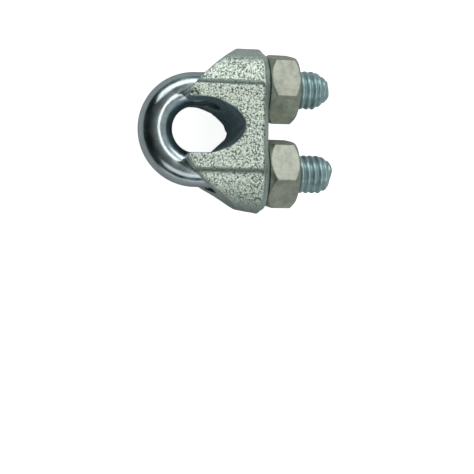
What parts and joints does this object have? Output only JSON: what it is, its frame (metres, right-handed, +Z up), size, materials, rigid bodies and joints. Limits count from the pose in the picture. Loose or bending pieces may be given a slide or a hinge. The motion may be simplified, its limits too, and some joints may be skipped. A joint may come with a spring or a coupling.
{
  "type": "wire rope clip",
  "caption": "Wire rope clip: a threaded U-bolt through a cast saddle with a rope seat, held by plain hexagon nuts, lying on its side.",
  "frame": {"origin": "middle of the clip's underside as it lies on its side: bottom centre of the bounding box", "axes": "+X along the legs from the bow to the stud tips, +Y across the two legs, +Z up along the rope's axis"},
  "size_m": [0.0312, 0.0254, 0.0132],
  "materials": {
    "u_bolt_zinc": "bright blue zinc plate",
    "saddle_zinc": "zinc-plated sand-cast malleable iron, coarse grain",
    "nut_zinc": "satin zinc plate"
  },
  "bodies": {
    "u_bolt": {"u_bolt": "u_bolt_zinc"},
    "saddle": {"saddle": "saddle_zinc"},
    "nut_upper": {"hex_nut_upper": "nut_zinc"},
    "nut_lower": {"hex_nut_lower": "nut_zinc"}
  },
  "joints": [
    {"name": "saddle_slide", "type": "slide", "parent": "u_bolt", "child": "saddle", "axis": [1, 0, 0], "range_m": [-0.001, 0.005]},
    {"name": "nut_upper_turn", "type": "hinge", "parent": "saddle", "child": "nut_upper", "pos_m": [0.00665, 0.00665, 0.0066], "axis": [1, 0, 0], "range_deg": [-360, 1800]},
    {"name": "nut_lower_turn", "type": "hinge", "parent": "saddle", "child": "nut_lower", "pos_m": [0.00665, -0.00665, 0.0066], "axis": [1, 0, 0], "range_deg": [-360, 1800]}
  ],
  "couplings": [
    {"joint": "nut_upper_turn", "follows": "saddle_slide", "rad_per_m": 6283.2},
    {"joint": "nut_lower_turn", "follows": "saddle_slide", "rad_per_m": 6283.2}
  ]
}
